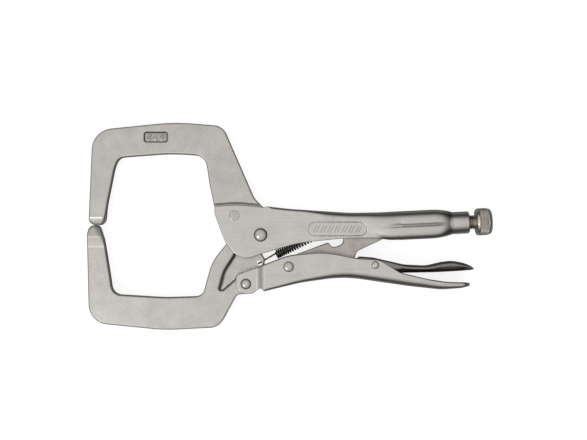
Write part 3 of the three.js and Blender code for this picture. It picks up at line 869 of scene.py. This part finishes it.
def make_upper_handle():
    """A channel whose back closes behind the jaw and which blends, by a weight that grows
    along x, into the rolled barrel; with the threaded boss and the tab for the spring."""
    x = np.concatenate([columns(BODY_FRONT, 30, 0.8), np.arange(30.45, 74, 0.45),
                        np.arange(74, 131.6, 0.7)])
    top, bottom = upper_edges()
    folded = smooth(x, WEB_START - 0.2, WEB_START + 5)
    lifted = 0.7 * (1 - smooth(x, WEB_START - 0.5, WEB_START + 0.2))
    edge, web = bottom(x), top(x) - lifted
    roll = 0.05 + 2.2 * folded + 2.6 * smooth(x, 26, 52)
    half = np.full_like(x, BODY_OUTER)
    outer, up, fold = channel(x, half, edge, web, roll, rows=40)
    thin = np.maximum(roll - BODY_WALL, 0.03)
    inner_web = web - BODY_WALL * folded
    inner, _, _ = channel(x, half - BODY_WALL, edge, inner_web, thin, rows=40)

    soft = millimetres("sheet_edge")
    slope = np.sqrt(1 + np.gradient(edge, x) ** 2)
    tall = up[:, -1:]
    from_edge = np.minimum(up / slope[:, None], (x - BODY_FRONT)[:, None])
    from_edge = np.where((x < WEB_START)[:, None], np.minimum(from_edge, tall - up), from_edge)
    drop = eased(from_edge, soft)
    motif = millimetres("emblem_depth") * emblem(outer[:, :fold, 0], outer[:, :fold, 1])
    wear_and_light = np.zeros(outer.shape[:2])
    for rows, side in ((slice(0, fold), 1), (slice(-1, -fold - 1, -1), -1)):
        outer[:, rows, 2] -= side * (drop + motif)
        inner[:, rows, 2] += side * drop
        wear_and_light[:, rows] = np.exp(-((from_edge / 0.6) ** 2))
        # The emblem's pressed lines are painted darker, as shade, on top of their real depth.
        wear_and_light[:, rows] -= 1.15 * motif / max(motif.max(), 1e-6)

    count = outer.shape[1]
    lengths = np.linalg.norm(np.diff(outer[len(x) * 2 // 3, :, 1:], axis=0), axis=1)
    share = 2 * np.r_[0, np.cumsum(lengths)] / lengths.sum() - 1
    slot = 3.8 - 3.3 * smooth(x, 94.4, 98.0)
    starts = 58.0 + 19.0 * np.abs(share) ** 2
    rolled = smooth(x[:, None], starts[None], 91.0)[..., None]
    share = np.repeat(share[None], len(x), 0)
    outer = outer * (1 - rolled) + rolled * barrel(x, share, 0.0, slot)
    inner = inner * (1 - rolled) + rolled * barrel(x, share, BODY_WALL, slot)
    # Painted shade along each side's flute, standing in for the dark reflection in its valley.
    side = np.exp(-(((np.abs(share) - 0.512) / 0.04) ** 2))
    wear_and_light -= 0.6 * side * smooth(x, 82, 98)[:, None] * smooth(x, 130, 123)[:, None]
    # Painted shade round the barrel's shoulder where it narrows to the boss, standing in for a
    # dark reflection.
    wear_and_light -= 0.9 * np.exp(-(((x - 129.8) / 4.2) ** 2))[:, None]

    keep = np.ones((len(x) - 1, count - 1), bool)
    front = x[:-1] < WEB_START
    keep[np.ix_(front, np.arange(fold - 1, count - fold))] = False
    shells = [thick_sheet(outer, inner, keep, wear_and_light)]

    # The third column paints shade where the boss leaves the barrel and inside its bore, and
    # lightens the rounded edge at its end.
    boss = [(-15.0, 5.3, -0.5), (-15.0, 7.2, -0.5), (-12.6, 7.6, -0.6), (-11.2, 7.6, -0.3),
            (-10.6, 7.6, 0), (-6, 7.6, 0), (-1.2, 7.6, 0), (-0.9, 7.55, 0.6),
            (-0.25, 6.95, 0.6), (0, 6.7, 0.4), (0, 6.5, 0), (0, 5.9, 0), (-0.5, 5.35, -0.6),
            (-1.5, 5.3, -0.9), (-14.8, 5.3, -0.9), (-15.0, 5.3, -0.9)]
    shells.append(turned(boss, BOSS_END, SCREW_AXIS, 72))

    loop = outline([(-2.4, 4.9, 1.2), (2.4, 4.9, 1.2), (2.4, 14.6, 1.2), (-2.4, 14.6, 1.2)])
    points, faces, wear_and_light = forging(
        loop, lambda p: np.full(len(p), BODY_WALL / 2), 0.4,
        [ring((0, SPRING_TAB[1]), 1.1, 16)], (), 1.0)
    middle = SPRING_TAB[0] + BODY_WALL / 2
    shells.append((np.column_stack([points[:, 2] + middle, points[:, 1], points[:, 0]]),
                   faces, wear_and_light))
    return shells


def make_lower_handle():
    """A channel open upwards, with two ears at the front and a tail drawn in at the rear."""
    x = np.concatenate([columns(EARS_FRONT, -2, 0.45), np.arange(-1.9, 8.0, 0.25),
                        np.arange(8.4, 143.7, 0.8), [143.7]])
    top = height_along([(-16.9, -31.4), (-16.88, -27.4, 4), (1.2, -21.1, 20),
                        (19.2, -14.2, 40), (43.85, -11.8, 60), (65.7, -16.2, 60),
                        (81.7, -17.2, 12), (96.2, -26.2, 14), (116.7, -31, 50),
                        (129.7, -32.9, 40), (143.7, -33.1)])
    bottom = height_along([(-16.9, -33.6), (-16.88, -40.4, 6.7), (-5.2, -40.4, 5.5),
                           (-1.4, -37, 6), (0.9, -36.6, 0.5), (1.9, -38.8, 0.8),
                           (28, -32.6, 90), (57, -28.7, 90), (101.7, -35.2, 120),
                           (123.7, -37.5, 40), (137.7, -36.4, 12), (143.7, -34.9)])
    edge, web = top(x), bottom(x)
    high = edge - web
    wide = EAR_OUTER + (GRIP_OUTER - EAR_OUTER) * smooth(x, -3.2, 3.2)
    tail = np.clip(x - 137.7, 0, 5.9)
    wide = wide - (6.0 - np.sqrt(36.0 - tail**2))
    growth = np.interp(x, [2, 27, 48, 61, 79, 96, 116], [2.2, 3.2, 4.8, 5.8, 6.0, 5.8, 5.0])
    folded = smooth(x, 1.4, 3.4)
    roll = np.minimum(0.05 + growth * folded, 0.82 * high)
    outer, up, fold = channel(x, wide, edge, web, roll)
    thin = np.maximum(roll - GRIP_WALL, 0.03)
    inner_web = web + GRIP_WALL * folded * np.clip(high / 5, 0.35, 1)
    inner_web = np.minimum(inner_web, edge - 0.4)
    thin = np.minimum(thin, 0.6 * (edge - inner_web))
    inner, _, _ = channel(x, wide - GRIP_WALL, edge, inner_web, thin)
    soft = millimetres("sheet_edge") * 0.9
    slope = np.sqrt(1 + np.gradient(edge, x) ** 2)
    under = np.sqrt(1 + np.gradient(web, x) ** 2)
    tall = up[:, -1:]
    from_edge = np.minimum(up / slope[:, None], (x - EARS_FRONT)[:, None])
    below = (tall - up) / under[:, None]
    from_edge = np.where((x < 1.8)[:, None], np.minimum(from_edge, below), from_edge)
    drop = eased(from_edge, soft)
    wear_and_light = np.zeros(outer.shape[:2])
    for rows, side in ((slice(0, fold), 1), (slice(-1, -fold - 1, -1), -1)):
        outer[:, rows, 2] -= side * drop
        inner[:, rows, 2] += side * drop
        wear_and_light[:, rows] = np.exp(-((from_edge / 0.6) ** 2))
    keep = np.ones((len(x) - 1, outer.shape[1] - 1), bool)
    last = outer.shape[1] - fold
    keep[np.ix_(x[:-1] < 1.8, np.arange(fold - 1, last))] = False
    keep[np.ix_(x[:-1] < 7.2, np.arange(fold + 6, last - 7))] = False
    return [thick_sheet(outer, inner, keep, wear_and_light)]


def make_release_lever():
    """A channel open downwards, whose tail is drawn together towards its lower edges."""
    x = columns(LEVER_FRONT, 146.4, 0.8)
    top = height_along([(66.5, -17.2), (66.52, -14.9, 2), (77.5, -15.7, 20),
                        (99, -20.6, 25), (114, -21.3, 20), (124.5, -18.8, 14),
                        (132, -17.9, 20), (139.8, -19.3, 16), (144.6, -21.4, 4),
                        (146.5, -22.9)])
    bottom = height_along([(66.5, -19.0), (66.52, -20.6, 1), (75.5, -27, 5),
                           (87.7, -26.4, 20), (101.7, -26.0, 20), (119.7, -25.7, 60),
                           (144.1, -24.4, 4), (146.5, -23.6)])
    edge, web = bottom(x), top(x)
    high = web - edge
    wide = LEVER_OUTER - 0.3 * smooth(x, 84, 74) - 2.6 * smooth(x, 132, 147)
    roll = np.minimum(1.6 + 0.9 * smooth(x, 86, 112), 0.45 * high)
    outer, up, fold = channel(x, wide, edge, web, roll, rows=18, bend=12)
    inner_web = np.maximum(web - LEVER_WALL * np.clip(high / 5, 0.4, 1), edge + 0.12)
    thin = np.minimum(np.maximum(roll - LEVER_WALL, 0.1), 0.6 * (inner_web - edge))
    inner, _, _ = channel(x, wide - LEVER_WALL, edge, inner_web, thin, rows=18, bend=12)
    slope = np.sqrt(1 + np.gradient(edge, x) ** 2)
    from_edge = np.minimum(up / slope[:, None], (x - LEVER_FRONT)[:, None])
    rise = 1 - up / np.maximum(up[:, -1:], 1e-6)
    tuck = 3.0 * smooth(x, 86, 100)[:, None] * np.clip(rise, 0, 1) ** 1.3
    drop = eased(from_edge, 0.5) + tuck * np.clip(high / 4, 0, 1)[:, None]
    wear_and_light = np.zeros(outer.shape[:2])
    for rows, side in ((slice(0, fold), 1), (slice(-1, -fold - 1, -1), -1)):
        outer[:, rows, 2] -= side * drop
        inner[:, rows, 2] -= side * (drop - 2 * eased(from_edge, 0.5))
        wear_and_light[:, rows] = 0.8 * np.exp(-((from_edge / 0.5) ** 2))
    keep = np.ones((len(x) - 1, outer.shape[1] - 1), bool)
    return [thick_sheet(outer, inner, keep, wear_and_light)]


# ---------------------------------------------------------------- link, rivets, screw


TOGGLE_LINK = [
    (15.6, -16.8, 2), (46.62, -5.24, 1.2), (49.31, -9.15, 3.9), (57.19, -6.21, 3.9),
    (56.66, -1.5, 1.2), (88.6, 10.4, 4.6), (88.6, -0.8, 4.6), (66.4, -11.2, 4),
    (64.2, -16.6, 3), (56, -22.4, 10), (21.2, -28.2, 2), (17.2, -22, 2),
]


LINK_END = 5.2  # least reach of the plate round its rivet


def make_toggle_link():
    """A plate, its outline pushed out round the rivet by a smooth maximum, with a hub."""
    loop = outline(TOGGLE_LINK, 0.5)
    offset = loop - LINK_PIVOT[:2]
    radial = np.linalg.norm(offset, axis=1) / LINK_END
    loop = LINK_PIVOT[:2] + offset * ((radial**16 + 1) ** (1 / 16) / radial)[:, None]
    web = forging(loop, lambda p: np.full(len(p), LINK_HALF), 0.8,
                  [ring(LINK_PIVOT, 3.05)], (), 1.4)
    # The third column paints slight shade in the hub's bore and lightens its rounded rims.
    hub = [(-7.1, 3.0, -0.3), (-7.1, 5.7, 0.3), (-6.8, 6.0, 0.5), (6.8, 6.0, 0.5),
           (7.1, 5.7, 0.3), (7.1, 3.0, -0.3), (-7.1, 3.0, -0.3)]
    return [web, turned(hub, LINK_PIVOT, (0, 0, 1), 48)]


def rivet_head(centre, shank, head, rise, seat):
    """A rivet through Z with a dome on each side: the dome is an ellipse with a slight
    dimple where the tool struck, a short upright rim and a flat seat."""
    r = np.linspace(0, 1, 22)
    r = np.sin(r * math.pi / 2)
    dome = (rise - 0.25) * (1 - r**2) ** 0.6 - 0.22 * np.exp(-((r * head / 2 / 0.55) ** 2))
    # The third column lightens a ring round the dimple and paints shade on the rim's foot and
    # the seat, where the head meets the plate.
    upper = [(seat + 0.25 + d, q * head / 2, 0.4 * math.exp(-((q * head / 2 - 1.2) ** 2)))
             for q, d in zip(r, dome)]
    upper += [(seat, head / 2, -0.7), (seat - 0.1, head / 2 - 0.2, -0.9),
              (seat - 0.1, shank, -0.5)]
    lower = [(-a, b, w) for a, b, w in reversed(upper)]
    return turned(upper + lower, centre, (0, 0, 1), 56)


def make_rivets():
    """Name, shells, body and CAD node of each rivet."""
    # The rivet's rounded edge and side are painted darker, as shade, making the ring round it.
    flush_top = [(7.2, 0, 0), (7.2, 2.6, 0), (7.2, 3.1, 0), (7.19, 3.2, -0.5),
                 (7.02, 3.6, -0.8), (6.98, 3.7, -1), (6.0, 3.7, -1)]
    flush = flush_top + [(-a, b, w) for a, b, w in reversed(flush_top)]
    return [
        ("jaw_rivet_flush", [turned(flush, JAW_RIVET, (0, 0, 1), 48)], "upper_body",
         "jaw_rivet"),
        ("pivot_rivet_domed", [rivet_head((0, 0, 0), 3.5, 9.4, 2.1, BODY_OUTER + 0.05)],
         "upper_body", "pivot_rivet"),
        ("ear_rivet_domed", [rivet_head(EAR_PIVOT, 2.75, 7.4, 1.8, EAR_OUTER + 0.05)],
         "lower_jaw_body", "ear_rivet"),
        ("link_rivet_domed", [rivet_head(LINK_PIVOT, 2.75, 7.2, 1.4, GRIP_OUTER + 0.05)],
         "lower_handle_body", "link_rivet"),
        ("lever_rivet_domed", [rivet_head(LEVER_PIVOT, 2.0, 5.2, 1.2, GRIP_OUTER + 0.05)],
         "lower_handle_body", "lever_rivet"),
    ]


def make_screw():
    """A bar with a thread: the radius rises and falls along a helix."""
    pitch = millimetres("thread_pitch")
    start, stop = -49.3, 4.0
    rows = np.arange(start + 1.6, stop, pitch / 9)

    def thread(along, angle):
        phase = (along / pitch - angle / math.tau) % 1
        cut = 0.75 * (2 * np.abs(phase - 0.5)) ** 1.3
        ends = smooth(along, start + 1.6, start + 4) * smooth(along, stop, stop - 0.6)
        return -cut * ends

    profile = [(start, 0, 0), (start, 3.2, 0.2), (start + 0.3, 3.5, 0.5)]
    profile += [(a, 4.95, 0.15) for a in rows]
    # The rows where the shank passes into the knob are painted darker, as shade.
    profile += [(stop, 4.2, -0.8), (stop + 0.4, 4.0, -0.8), (13.0, 4.0, 0), (13.0, 0, 0)]
    return [turned(profile, BOSS_END, SCREW_AXIS, 64, bumps=thread)]


def make_knob():
    """A knob with diamond knurling: two opposed helical ridges of a triangle wave, joined by
    their lower envelope, so that pyramids stand between crossing grooves."""
    count = bpy.context.scene.pliers_sizes.knurl_count
    front, rear = 6.9, 13.0
    radius = 9.42
    pitch = math.tau * radius / count

    def knurl(along, angle):
        turn = angle * count / math.tau
        run = along / pitch
        one = 2 * np.abs((turn + run) % 1 - 0.5)
        two = 2 * np.abs((turn - run) % 1 - 0.5)
        band = smooth(along, front, front + 0.3) * smooth(along, rear, rear - 0.3)
        return -0.65 * (1 - np.minimum(one, two)) ** 1.2 * band

    # The third column paints shade in the bore and in the grooves either side of the knurl,
    # and lightens the rounded edges.
    neck = [(13.2, 0.0, -0.5), (13.2, 4.3, -0.5), (13.2, 4.1, -0.5), (3.3, 4.1, -0.9),
            (3.3, 4.3, 0.0), (3.5, 4.7, 0.5), (4.0, 5.2, 0.4), (4.35, 6.2, 0.0),
            (4.42, 7.6, 0.2), (4.5, 8.3, 0.6), (4.9, 8.8, 0.6), (5.5, 9.15, 0.6),
            (6.0, 9.25, 0.3), (6.6, 9.25, 0.0), (6.8, 9.1, -0.6)]
    knurled = [(a, radius - 0.9 * smooth(a, 11.4, 14.4), 0.1)
               for a in np.linspace(front, rear, 50)]
    back = [(13.1, 8.95, -0.5), (13.3, 9.0, 0.4), (13.8, 8.75, 0.5), (14.4, 8.35, 0.4),
            (15.0, 7.7, 0.3), (15.3, 7.1, 0.5), (15.44, 6.4, 0.1), (15.54, 5.0, 0),
            (15.64, 2.5, 0), (15.69, 0.0, 0)]
    return [turned(neck + knurled + back, BOSS_END, SCREW_AXIS, count * 8, bumps=knurl)]


def make_spring():
    """A helix of wire whose pitch opens towards the rear, with a hook at each end."""
    turns = bpy.context.scene.pliers_sizes.coil_count
    span = SPRING_TAB - SPRING_HOLE
    length = np.linalg.norm(span)
    ahead = span / length
    up = np.cross([0, 0, 1.0], ahead)
    outward = np.array([0, 0, 1.0])
    wire, coil = 0.55, 2.7
    t = np.linspace(0, 1, turns * 22)
    along = 12.4 + wire + (length - 4 - 12.4 - 2 * wire) * (0.68 * t + 0.32 * t**2)
    angle = math.tau * turns * t
    settle = coil * np.minimum(1, np.minimum(t, 1 - t) * 60 + 0.35)
    round_about = np.cos(angle)[:, None] * up + np.sin(angle)[:, None] * outward
    helix = SPRING_HOLE + along[:, None] * ahead + settle[:, None] * round_about
    s = np.linspace(0, 1, 30)[:, None]
    turn = np.linspace(0, 1.5 * math.pi, 22)[:, None]
    hook = (SPRING_HOLE + 1.5 * (1 - np.cos(turn)) * ahead * 0.9
            + 2.3 * np.cos(turn * 0.5 + 0.5) * outward - 0.9 * ahead)
    first = helix[0]
    front = np.concatenate([hook, hook[-1] + (first - hook[-1]) * s[2:-1]])
    tail_turn = np.linspace(1.3 * math.pi, 0, 18)[:, None]
    tail = (SPRING_TAB - 1.0 * ahead * (1 - np.cos(tail_turn))
            + 1.6 * np.cos(tail_turn * 0.5 + 0.4) * up * 0.6)
    last = helix[-1]
    rear = np.concatenate([last + (tail[0] - last) * s[1:-1], tail])
    line = np.concatenate([front, helix, rear])
    return [tube(line, wire, 10)], span


# ---------------------------------------------------------------- operators


class PliersJaws(bpy.types.Operator):
    """Builds the two forged jaws"""

    bl_idname = "pliers.jaws"
    bl_label = "Forged jaws"

    def execute(self, context):
        steel = blasted_nickel_forging()
        emit("fixed_jaw_forging", make_fixed_jaw(), "upper_body", ["fixed_jaw"],
             steel)
        emit("lower_jaw_forging", make_lower_jaw(), "lower_jaw_body", ["lower_jaw"],
             steel)
        return {"FINISHED"}


class PliersHandles(bpy.types.Operator):
    """Builds the two pressed handles"""

    bl_idname = "pliers.handles"
    bl_label = "Pressed handles"

    def execute(self, context):
        sheet = satin_nickel_sheet()
        emit("upper_handle_pressing", make_upper_handle(), "upper_body", ["upper_handle"],
             sheet)
        emit("lower_handle_pressing", make_lower_handle(), "lower_handle_body",
             ["lower_handle"], sheet)
        return {"FINISHED"}


class PliersLever(bpy.types.Operator):
    """Builds the release lever"""

    bl_idname = "pliers.lever"
    bl_label = "Release lever"

    def execute(self, context):
        emit("release_lever_pressing", make_release_lever(), "lever_body",
             ["release_lever"], chromed_sheet_painted_dark())
        return {"FINISHED"}


class PliersLink(bpy.types.Operator):
    """Builds the toggle link"""

    bl_idname = "pliers.link"
    bl_label = "Toggle link"

    def execute(self, context):
        emit("toggle_link_plate", make_toggle_link(), "link_body", ["toggle_link"],
             tumbled_nickel_plate())
        return {"FINISHED"}


class PliersRivets(bpy.types.Operator):
    """Builds the five rivets"""

    bl_idname = "pliers.rivets"
    bl_label = "Rivets"

    def execute(self, context):
        steel = nickel_rivet()
        for name, shells, body, node in make_rivets():
            emit(name, shells, body, [node], steel)
        return {"FINISHED"}


class PliersScrew(bpy.types.Operator):
    """Builds the adjusting screw and its knob"""

    bl_idname = "pliers.screw"
    bl_label = "Adjusting screw"

    def execute(self, context):
        emit("screw_shank_threaded", make_screw(), "screw_body", ["screw_shank"],
             machined_thread_steel())
        emit("screw_knob_knurled", make_knob(), "knob_body", ["screw_knob"],
             knurled_nickel_steel())
        return {"FINISHED"}


class PliersSpring(bpy.types.Operator):
    """Builds the tension spring"""

    bl_idname = "pliers.spring"
    bl_label = "Tension spring"

    def execute(self, context):
        shells, span = make_spring()
        spring = emit("tension_spring_coil", shells, "upper_body", ["tension_spring"],
                      blackened_spring_wire(), sharp=70)
        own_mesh(spring)
        return {"FINISHED"}


CAMERA_CENTRE = (0.00255, 0.00434)
CAMERA_HEIGHT = 0.95
VIEW_WIDTH = 0.405
SENSOR = 36.0


class PliersStage(bpy.types.Operator):
    """Builds the floor, the light and the camera"""

    bl_idname = "pliers.stage"
    bl_label = "Stage"

    def execute(self, context):
        scene = context.scene
        scene.view_settings.view_transform = "Standard"
        scene.view_settings.look = "None"
        mesh = bpy.data.meshes.new("floor")
        reach, under = 4.0, -0.0003
        corners = [(-reach, -reach, under), (reach, -reach, under), (reach, reach, under),
                   (-reach, reach, under)]
        mesh.from_pydata(corners, [], [(0, 1, 2, 3)])
        floor = bpy.data.objects.new("floor", mesh)
        scene.collection.objects.link(floor)
        mesh.materials.append(white_paper())
        floor.visible_glossy = False

        camera = bpy.data.cameras.new("camera")
        camera.sensor_width = SENSOR
        camera.lens = SENSOR * CAMERA_HEIGHT / VIEW_WIDTH
        camera.dof.use_dof = False
        holder = bpy.data.objects.new("camera", camera)
        holder.location = (*CAMERA_CENTRE, PIVOT[2] * MM + CAMERA_HEIGHT)
        scene.collection.objects.link(holder)
        scene.camera = holder

        soft = bpy.data.lights.new("softbox", "AREA")
        soft.shape = "DISK"
        soft.size = 0.22
        soft.energy = 0.9
        lamp = bpy.data.objects.new("softbox", soft)
        lamp.location = (-0.42, -0.38, 0.95)
        aim = np.array([0.0, 0.0, 0.0]) - np.array(lamp.location)
        lamp.rotation_euler = (
            math.atan2(math.hypot(aim[0], aim[1]), -aim[2]), 0.0,
            math.atan2(aim[1], aim[0]) + math.pi / 2 + math.pi)
        scene.collection.objects.link(lamp)
        scene.world = studio_world()
        return {"FINISHED"}


# Matt white paper sweep, lifted slightly so that it stays clean white under the object.
def white_paper():
    material = bpy.data.materials.new("matt_white_paper")
    material.use_nodes = True
    tree = material.node_tree
    tree.nodes.clear()
    place = add(tree, "ShaderNodeTexCoord").outputs["Object"]
    fibres = add(tree, "ShaderNodeTexNoise", {"Scale": 900.0, "Detail": 3.0},
                 {"Vector": place}).outputs["Fac"]
    shade = add(tree, "ShaderNodeMix", {"data_type": "RGBA", 6: linear("#b4b4b4"),
                                        7: linear("#bcbcbc")}, {0: fibres}).outputs[2]
    shader = add(tree, "ShaderNodeBsdfPrincipled",
                 {"Roughness": 0.9, "Emission Strength": 0.8,
                  "Emission Color": linear("#ffffff")},
                 {"Base Color": shade})
    add(tree, "ShaderNodeOutputMaterial", {}, {"Surface": shader.outputs["BSDF"]})
    return material


def studio_world():
    """Soft light that is bright overhead, leans to the lower left, and falls off to dark at
    the horizon; the camera sees a pale backdrop instead."""
    world = bpy.data.worlds.new("studio")
    world.use_nodes = True
    tree = world.node_tree
    tree.nodes.clear()
    place = add(tree, "ShaderNodeTexCoord").outputs["Generated"]
    lean = np.array([-0.13, -0.05, 1.0])
    lean /= np.linalg.norm(lean)
    height = add(tree, "ShaderNodeVectorMath",
                 {"operation": "DOT_PRODUCT", 1: tuple(lean)}, {0: place}).outputs["Value"]
    share = add(tree, "ShaderNodeMapRange", {"From Min": -1.0}, {"Value": height})
    ramp = add(tree, "ShaderNodeValToRGB", {}, {"Fac": share.outputs["Result"]})
    stops = [(-1.0, 0.04), (-0.8, 0.18), (-0.45, 0.30), (-0.2, 0.08), (0.0, 0.012),
             (0.25, 0.05), (0.5, 0.34), (0.72, 0.74), (0.9, 0.92), (1.0, 0.94)]
    elements = ramp.color_ramp.elements
    while len(elements) < len(stops):
        elements.new(0.5)
    for element, (at, level) in zip(elements, stops):
        element.position = (at + 1) / 2
        element.color = (level, level * 0.996, level * 0.99, 1)
    light = add(tree, "ShaderNodeBackground", {"Strength": 1.0},
                {"Color": ramp.outputs["Color"]})
    pale = add(tree, "ShaderNodeBackground", {"Color": (0.92, 0.92, 0.92, 1)})
    seen = add(tree, "ShaderNodeLightPath").outputs["Is Camera Ray"]
    mixed = add(tree, "ShaderNodeMixShader", {},
                {0: seen, 1: light.outputs[0], 2: pale.outputs[0]})
    add(tree, "ShaderNodeOutputWorld", {}, {"Surface": mixed.outputs[0]})
    return world


class PliersPanel(bpy.types.Panel):
    bl_idname = "VIEW3D_PT_pliers"
    bl_label = "Locking pliers"
    bl_space_type = "VIEW_3D"
    bl_region_type = "UI"
    bl_category = "Pliers"

    def draw(self, context):
        for group in (context.scene.pliers_sizes, context.scene.pliers_finish):
            for key in group.__annotations__:
                self.layout.prop(group, key)
        for operator in OPERATORS:
            self.layout.operator(operator.bl_idname)


OPERATORS = [PliersJaws, PliersHandles, PliersLever, PliersLink, PliersRivets, PliersScrew,
             PliersSpring, PliersStage]
CLASSES = [PliersSizes, PliersFinish, *OPERATORS, PliersPanel]


def register():
    for each in CLASSES:
        bpy.utils.register_class(each)
    bpy.types.Scene.pliers_sizes = bpy.props.PointerProperty(type=PliersSizes)
    bpy.types.Scene.pliers_finish = bpy.props.PointerProperty(type=PliersFinish)


def unregister():
    del bpy.types.Scene.pliers_sizes
    del bpy.types.Scene.pliers_finish
    for each in reversed(CLASSES):
        bpy.utils.unregister_class(each)


def main():
    register()
    for operator in OPERATORS:
        group, action = operator.bl_idname.split(".")
        getattr(getattr(bpy.ops, group), action)()


if __name__ == "__main__":
    main()
